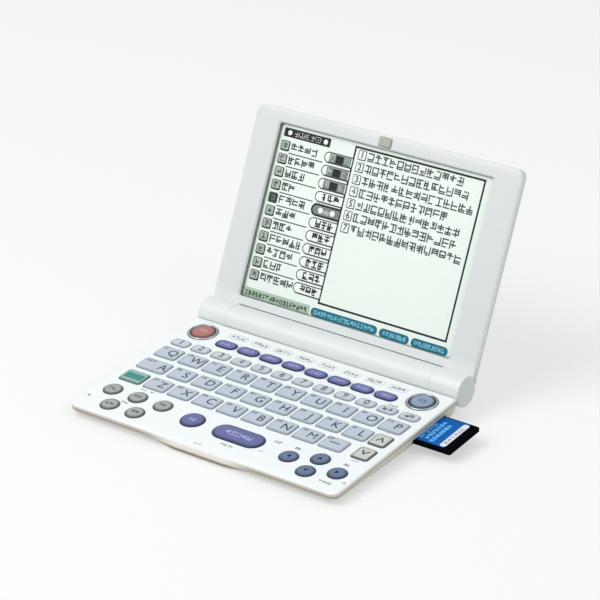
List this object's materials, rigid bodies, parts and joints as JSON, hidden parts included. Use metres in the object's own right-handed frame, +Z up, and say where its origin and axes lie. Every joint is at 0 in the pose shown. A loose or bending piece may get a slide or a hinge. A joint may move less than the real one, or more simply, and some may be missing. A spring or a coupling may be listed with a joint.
{
  "type": "electronic dictionary",
  "caption": "Pocket electronic dictionary: hinged display half over a keyboard half, battery barrel in the hinge and a memory card in its side slot.",
  "frame": {"origin": "middle of the overall footprint, on the surface that the feet stand on", "axes": "+X to the user's right along the hinge, +Y from the user towards the hinge, +Z up"},
  "size_m": [0.1664, 0.1492, 0.1043],
  "materials": {
    "white_shell": "fine satin moulding, near white",
    "letter_key": "pale blue grey, satin",
    "number_key": "pale lavender grey, satin",
    "purple_key": "violet blue, satin",
    "arrow_key": "steel blue, satin",
    "grey_key": "mid grey, satin",
    "green_key": "muted green, satin",
    "red_key": "brick red, satin",
    "blue_key": "pale blue grey, glossy",
    "page_key": "warm grey, satin",
    "chrome_ring": "bright plated",
    "steel": "bare steel",
    "dark_rubber": "soft, matt",
    "light_rubber": "soft, matt",
    "board": "green circuit board",
    "window": "clear, polished",
    "display": "pale greenish white panel",
    "card": "black case with a blue label",
    "cell": "plain wrapped cell",
    "flex": "amber film"
  },
  "bodies": {
    "keyboard_half": {"top_cover": "white_shell", "bottom_cover": "white_shell", "barrel_cover": "white_shell", "cell_left": "cell", "cell_right": "cell", "contact_negative": "steel", "contact_positive": "steel", "hinge_pin_left": "steel", "hinge_pin_right": "steel", "key_sheet": "dark_rubber", "main_board": "board", "card_socket": "steel", "power_ring": "chrome_ring", "round_ring": "chrome_ring", "foot_front_left": "dark_rubber", "foot_front_right": "dark_rubber", "foot_rear_left": "dark_rubber", "foot_rear_right": "dark_rubber"},
    "display_half": {"lid_front_bezel": "white_shell", "lid_back_cover": "white_shell", "display_window": "window", "display_panel": "display", "display_flex": "flex", "lid_bumper": "light_rubber"},
    "card": {"memory_card": "card"},
    "cover": {"battery_cover": "white_shell"},
    "power_key_part": {"power_key": "red_key"},
    "round_key_part": {"round_key": "blue_key"},
    "function_key_1_part": {"function_key_1": "purple_key"},
    "function_key_2_part": {"function_key_2": "purple_key"},
    "function_key_3_part": {"function_key_3": "purple_key"},
    "function_key_4_part": {"function_key_4": "purple_key"},
    "function_key_5_part": {"function_key_5": "purple_key"},
    "function_key_6_part": {"function_key_6": "purple_key"},
    "function_key_7_part": {"function_key_7": "purple_key"},
    "function_key_8_part": {"function_key_8": "purple_key"},
    "green_key_part": {"green_key": "green_key"},
    "page_up_key_part": {"page_up_key": "page_key"},
    "page_down_key_part": {"page_down_key": "page_key"},
    "grey_key_1_part": {"grey_key_1": "grey_key"},
    "grey_key_2_part": {"grey_key_2": "grey_key"},
    "grey_key_3_part": {"grey_key_3": "grey_key"},
    "grey_key_4_part": {"grey_key_4": "grey_key"},
    "grey_key_5_part": {"grey_key_5": "grey_key"},
    "back_key_part": {"back_key": "purple_key"},
    "enter_key_part": {"enter_key": "purple_key"},
    "arrow_left_key_part": {"arrow_left_key": "arrow_key"},
    "arrow_up_key_part": {"arrow_up_key": "arrow_key"},
    "arrow_down_key_part": {"arrow_down_key": "arrow_key"},
    "arrow_right_key_part": {"arrow_right_key": "arrow_key"},
    "number_row_keys_part": {"number_row_keys": "number_key"},
    "letter_row_1_keys_part": {"letter_row_1_keys": "letter_key"},
    "letter_row_2_keys_part": {"letter_row_2_keys": "letter_key"},
    "letter_row_3_keys_part": {"letter_row_3_keys": "letter_key"}
  },
  "joints": [
    {"name": "lid_hinge", "type": "hinge", "parent": "keyboard_half", "child": "display_half", "pos_m": [-0.0092, 0.02664, 0.01247], "axis": [1, 0, 0], "range_deg": [-22, 118.4]},
    {"name": "memory_card_slide", "type": "slide", "parent": "keyboard_half", "child": "card", "axis": [-1, 0, 0], "range_m": [-0.012, 0.0165]},
    {"name": "battery_cover_slide", "type": "slide", "parent": "keyboard_half", "child": "cover", "axis": [0, 1, 0], "range_m": [0, 0.013]},
    {"name": "power_key_press", "type": "slide", "parent": "keyboard_half", "child": "power_key_part", "axis": [0, 0.0698, -0.9976], "range_m": [0, 0.0005], "stiffness_N_per_m": 500, "springref_m": -0.0004},
    {"name": "round_key_press", "type": "slide", "parent": "keyboard_half", "child": "round_key_part", "axis": [0, 0.0698, -0.9976], "range_m": [0, 0.0005], "stiffness_N_per_m": 500, "springref_m": -0.0004},
    {"name": "function_key_1_press", "type": "slide", "parent": "keyboard_half", "child": "function_key_1_part", "axis": [0, 0.0698, -0.9976], "range_m": [0, 0.0005], "stiffness_N_per_m": 500, "springref_m": -0.0004},
    {"name": "function_key_2_press", "type": "slide", "parent": "keyboard_half", "child": "function_key_2_part", "axis": [0, 0.0698, -0.9976], "range_m": [0, 0.0005], "stiffness_N_per_m": 500, "springref_m": -0.0004},
    {"name": "function_key_3_press", "type": "slide", "parent": "keyboard_half", "child": "function_key_3_part", "axis": [0, 0.0698, -0.9976], "range_m": [0, 0.0005], "stiffness_N_per_m": 500, "springref_m": -0.0004},
    {"name": "function_key_4_press", "type": "slide", "parent": "keyboard_half", "child": "function_key_4_part", "axis": [0, 0.0698, -0.9976], "range_m": [0, 0.0005], "stiffness_N_per_m": 500, "springref_m": -0.0004},
    {"name": "function_key_5_press", "type": "slide", "parent": "keyboard_half", "child": "function_key_5_part", "axis": [0, 0.0698, -0.9976], "range_m": [0, 0.0005], "stiffness_N_per_m": 500, "springref_m": -0.0004},
    {"name": "function_key_6_press", "type": "slide", "parent": "keyboard_half", "child": "function_key_6_part", "axis": [0, 0.0698, -0.9976], "range_m": [0, 0.0005], "stiffness_N_per_m": 500, "springref_m": -0.0004},
    {"name": "function_key_7_press", "type": "slide", "parent": "keyboard_half", "child": "function_key_7_part", "axis": [0, 0.0698, -0.9976], "range_m": [0, 0.0005], "stiffness_N_per_m": 500, "springref_m": -0.0004},
    {"name": "function_key_8_press", "type": "slide", "parent": "keyboard_half", "child": "function_key_8_part", "axis": [0, 0.0698, -0.9976], "range_m": [0, 0.0005], "stiffness_N_per_m": 500, "springref_m": -0.0004},
    {"name": "green_key_press", "type": "slide", "parent": "keyboard_half", "child": "green_key_part", "axis": [0, 0.0698, -0.9976], "range_m": [0, 0.0005], "stiffness_N_per_m": 500, "springref_m": -0.0004},
    {"name": "page_up_key_press", "type": "slide", "parent": "keyboard_half", "child": "page_up_key_part", "axis": [0, 0.0698, -0.9976], "range_m": [0, 0.0005], "stiffness_N_per_m": 500, "springref_m": -0.0004},
    {"name": "page_down_key_press", "type": "slide", "parent": "keyboard_half", "child": "page_down_key_part", "axis": [0, 0.0698, -0.9976], "range_m": [0, 0.0005], "stiffness_N_per_m": 500, "springref_m": -0.0004},
    {"name": "grey_key_1_press", "type": "slide", "parent": "keyboard_half", "child": "grey_key_1_part", "axis": [0, 0.0698, -0.9976], "range_m": [0, 0.0005], "stiffness_N_per_m": 500, "springref_m": -0.0004},
    {"name": "grey_key_2_press", "type": "slide", "parent": "keyboard_half", "child": "grey_key_2_part", "axis": [0, 0.0698, -0.9976], "range_m": [0, 0.0005], "stiffness_N_per_m": 500, "springref_m": -0.0004},
    {"name": "grey_key_3_press", "type": "slide", "parent": "keyboard_half", "child": "grey_key_3_part", "axis": [0, 0.0698, -0.9976], "range_m": [0, 0.0005], "stiffness_N_per_m": 500, "springref_m": -0.0004},
    {"name": "grey_key_4_press", "type": "slide", "parent": "keyboard_half", "child": "grey_key_4_part", "axis": [0, 0.0698, -0.9976], "range_m": [0, 0.0005], "stiffness_N_per_m": 500, "springref_m": -0.0004},
    {"name": "grey_key_5_press", "type": "slide", "parent": "keyboard_half", "child": "grey_key_5_part", "axis": [0, 0.0698, -0.9976], "range_m": [0, 0.0005], "stiffness_N_per_m": 500, "springref_m": -0.0004},
    {"name": "back_key_press", "type": "slide", "parent": "keyboard_half", "child": "back_key_part", "axis": [0, 0.0698, -0.9976], "range_m": [0, 0.0005], "stiffness_N_per_m": 500, "springref_m": -0.0004},
    {"name": "enter_key_press", "type": "slide", "parent": "keyboard_half", "child": "enter_key_part", "axis": [0, 0.0698, -0.9976], "range_m": [0, 0.0005], "stiffness_N_per_m": 500, "springref_m": -0.0004},
    {"name": "arrow_left_key_press", "type": "slide", "parent": "keyboard_half", "child": "arrow_left_key_part", "axis": [0, 0.0698, -0.9976], "range_m": [0, 0.0005], "stiffness_N_per_m": 500, "springref_m": -0.0004},
    {"name": "arrow_up_key_press", "type": "slide", "parent": "keyboard_half", "child": "arrow_up_key_part", "axis": [0, 0.0698, -0.9976], "range_m": [0, 0.0005], "stiffness_N_per_m": 500, "springref_m": -0.0004},
    {"name": "arrow_down_key_press", "type": "slide", "parent": "keyboard_half", "child": "arrow_down_key_part", "axis": [0, 0.0698, -0.9976], "range_m": [0, 0.0005], "stiffness_N_per_m": 500, "springref_m": -0.0004},
    {"name": "arrow_right_key_press", "type": "slide", "parent": "keyboard_half", "child": "arrow_right_key_part", "axis": [0, 0.0698, -0.9976], "range_m": [0, 0.0005], "stiffness_N_per_m": 500, "springref_m": -0.0004},
    {"name": "number_row_keys_press", "type": "slide", "parent": "keyboard_half", "child": "number_row_keys_part", "axis": [0, 0.0698, -0.9976], "range_m": [0, 0.0005], "stiffness_N_per_m": 900, "springref_m": -0.0004},
    {"name": "letter_row_1_keys_press", "type": "slide", "parent": "keyboard_half", "child": "letter_row_1_keys_part", "axis": [0, 0.0698, -0.9976], "range_m": [0, 0.0005], "stiffness_N_per_m": 900, "springref_m": -0.0004},
    {"name": "letter_row_2_keys_press", "type": "slide", "parent": "keyboard_half", "child": "letter_row_2_keys_part", "axis": [0, 0.0698, -0.9976], "range_m": [0, 0.0005], "stiffness_N_per_m": 900, "springref_m": -0.0004},
    {"name": "letter_row_3_keys_press", "type": "slide", "parent": "keyboard_half", "child": "letter_row_3_keys_part", "axis": [0, 0.0698, -0.9976], "range_m": [0, 0.0005], "stiffness_N_per_m": 900, "springref_m": -0.0004}
  ]
}
